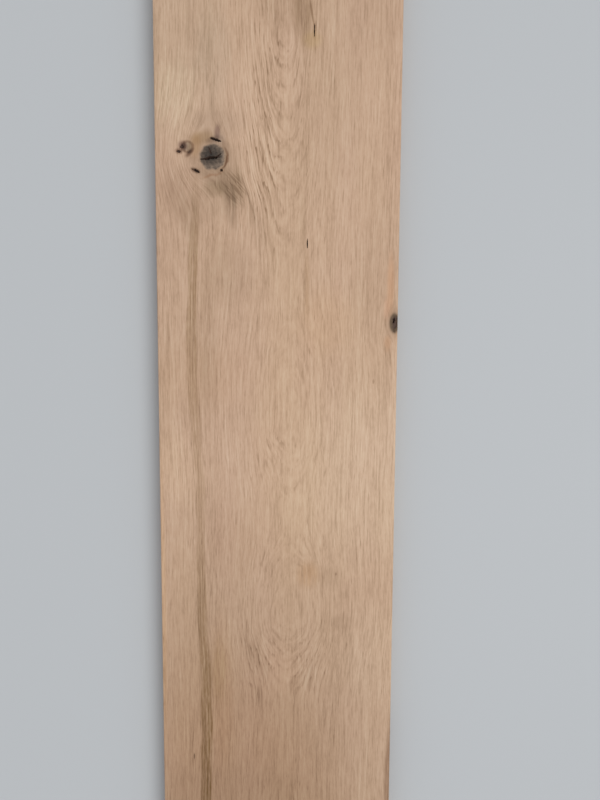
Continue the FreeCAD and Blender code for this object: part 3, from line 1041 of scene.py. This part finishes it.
# %% World and lamps
FILL_COLOUR, FILL_LEVEL = "#fbfbff", 0.62
scene = bpy.context.scene
scene.view_settings.view_transform = "Standard"
world = bpy.data.worlds.new("soft_room")
world.use_nodes = True
world.node_tree.nodes.clear()
sky = partial(add, world.node_tree)
seen = sky("LightPath", out="Is Camera Ray")
fill = sky("Background", [linear(FILL_COLOUR), FILL_LEVEL])
behind = sky("Background", [linear(BACKGROUND), 1.0])
sky("OutputWorld", [sky("MixShader", [seen, fill, behind])])
scene.world = world

# Each line: kind, place in metres, what it points at, strength, how wide it is and colour. The
# sun's width is an angle and its strength a level, the lamp's are a size in metres and watts.
SUN_LEVEL = 0.38
SUN_WIDTH = math.radians(40)
LAMPS = {
    "wide_sun": ("SUN", (2.0, -0.8, 3.4), (0.0, 0.0, 0.0), SUN_LEVEL * math.pi, SUN_WIDTH, "#fffefc"),
    "right_lamp": ("AREA", (0.4, -0.05, 0.7), (0.0, -0.03, 0.0), 0.5, 0.5, "#fdfdff"),
}
for name, (kind, stands, aims_at, strength, wide, lamp_colour) in LAMPS.items():
    lamp_data = bpy.data.lights.new(name, kind)
    if kind == "SUN":
        lamp_data.angle = wide
    else:
        lamp_data.shape = "DISK"
        lamp_data.size = wide
    lamp_data.energy = strength
    lamp_data.color = linear(lamp_colour)[:3]
    lamp = bpy.data.objects.new(name, lamp_data)
    lamp.location = stands
    ray_down = lamp.location - type(lamp.location)(aims_at)
    lamp.rotation_euler = ray_down.to_track_quat("Z", "Y").to_euler()
    lamp.visible_camera = False
    scene.collection.objects.link(lamp)
    print(f"{name}: strength {strength:.2f}")

# %% [markdown]
# The photograph looks down on the board from about three quarters of a metre, a few degrees
# off square, so that the board narrows a little towards the bottom of the picture. The camera
# repeats that. Its height follows from its lens and from the board's width in the picture.

# %% Camera
PICTURE_WIDE, PICTURE_HIGH = 600, 800
SENSOR = 36.0
LENS = 35.82
TILT = math.radians(6.5)
ROLL = math.radians(0.28)
BOARD_WIDTH_IN_PICTURE = 237.8
LOOKS_AT_ACROSS = 20.9
# Places on the face, across and along in mm, whose place in the picture is printed.
CHECKED = [(-110, 352), (110, 352), (-110, -395), (110, -395), (LOOKS_AT_ACROSS, 0)]
focal_pixels = LENS / SENSOR * PICTURE_HIGH
camera_away = focal_pixels * 2 * half_width / BOARD_WIDTH_IN_PICTURE
camera_data = bpy.data.cameras.new("camera")
camera_data.sensor_width = SENSOR
camera_data.lens = LENS
camera = bpy.data.objects.new("camera", camera_data)
camera.location = (
    LOOKS_AT_ACROSS * MM,
    camera_away * math.sin(TILT) * MM,
    (thickness + camera_away * math.cos(TILT)) * MM,
)
camera.rotation_euler = (-TILT, 0, 0)
camera.rotation_euler.rotate_axis("Z", ROLL)
scene.collection.objects.link(camera)
scene.camera = camera
bpy.context.view_layer.update()
to_camera = camera.matrix_world.inverted()
for across, length_place in CHECKED:
    seen_at = to_camera @ type(camera.location)((across * MM, length_place * MM, thickness * MM))
    column = PICTURE_WIDE / 2 + focal_pixels * seen_at.x / -seen_at.z
    row = PICTURE_HIGH / 2 - focal_pixels * seen_at.y / -seen_at.z
    print(f"({across}, {length_place}) mm is seen at column {column:.1f}, row {row:.1f}")

# %% [markdown]
# The dressed board should stay within the imported one, so the script prints how far it reaches past
# it.

# %% The size of the dressed board beside the imported one
dressed_low, dressed_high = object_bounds()
past = max(dressed - packed for dressed, packed in zip(dressed_high, packed_high))
print(f"the dressed board reaches {past / MM:.3f} mm past the packed one")
